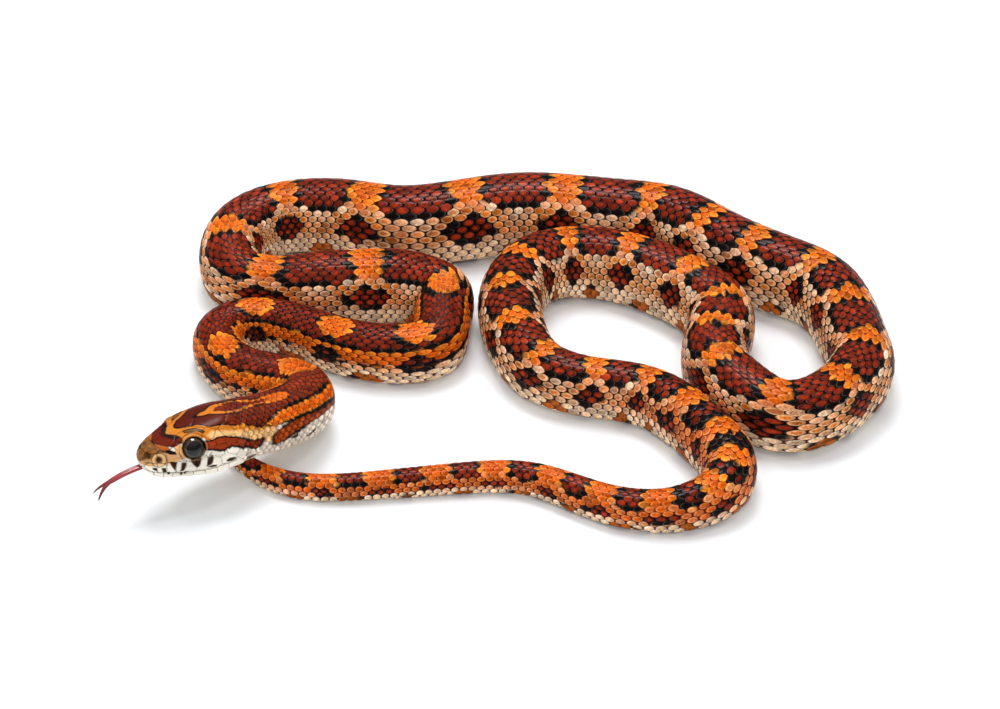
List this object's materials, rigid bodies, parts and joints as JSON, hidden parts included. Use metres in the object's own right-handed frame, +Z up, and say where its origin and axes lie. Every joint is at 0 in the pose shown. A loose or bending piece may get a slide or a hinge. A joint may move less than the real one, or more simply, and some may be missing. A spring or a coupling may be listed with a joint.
{
  "type": "corn snake",
  "caption": "Life-size corn snake resting in loose coils, head just off the floor, forked tongue out, red-brown saddles on orange.",
  "frame": {"origin": "on the floor, under the middle of the box around the coiled animal", "axes": "+X along the longest way across the coils, the snout pointing towards -X and -Y; +Y away from the side the head and tail lie on; +Z up, square to the floor"},
  "size_m": [0.2104, 0.1453, 0.0243],
  "materials": {
    "body_scales": "smooth glossy scales, dark red saddles on orange",
    "head_scales": "smooth glossy head plates",
    "belly_scales": "smooth pale plates",
    "eye": "wet, under a clear scale",
    "tongue": "moist"
  },
  "bodies": {
    "root": {"body_01": "body_scales", "body_02": "body_scales", "body_03": "body_scales", "body_04": "body_scales", "body_05": "body_scales", "body_06": "body_scales", "body_07": "body_scales", "body_08": "body_scales", "body_09": "body_scales", "body_10": "body_scales", "body_11": "body_scales", "eye_left": "eye", "eye_right": "eye", "head": "head_scales", "lower_jaw": "belly_scales", "neck_1": "body_scales", "neck_2": "body_scales", "tail_1": "body_scales", "tail_2": "body_scales", "tail_3": "body_scales", "tail_tip": "body_scales", "tongue": "tongue"}
  },
  "joints": []
}
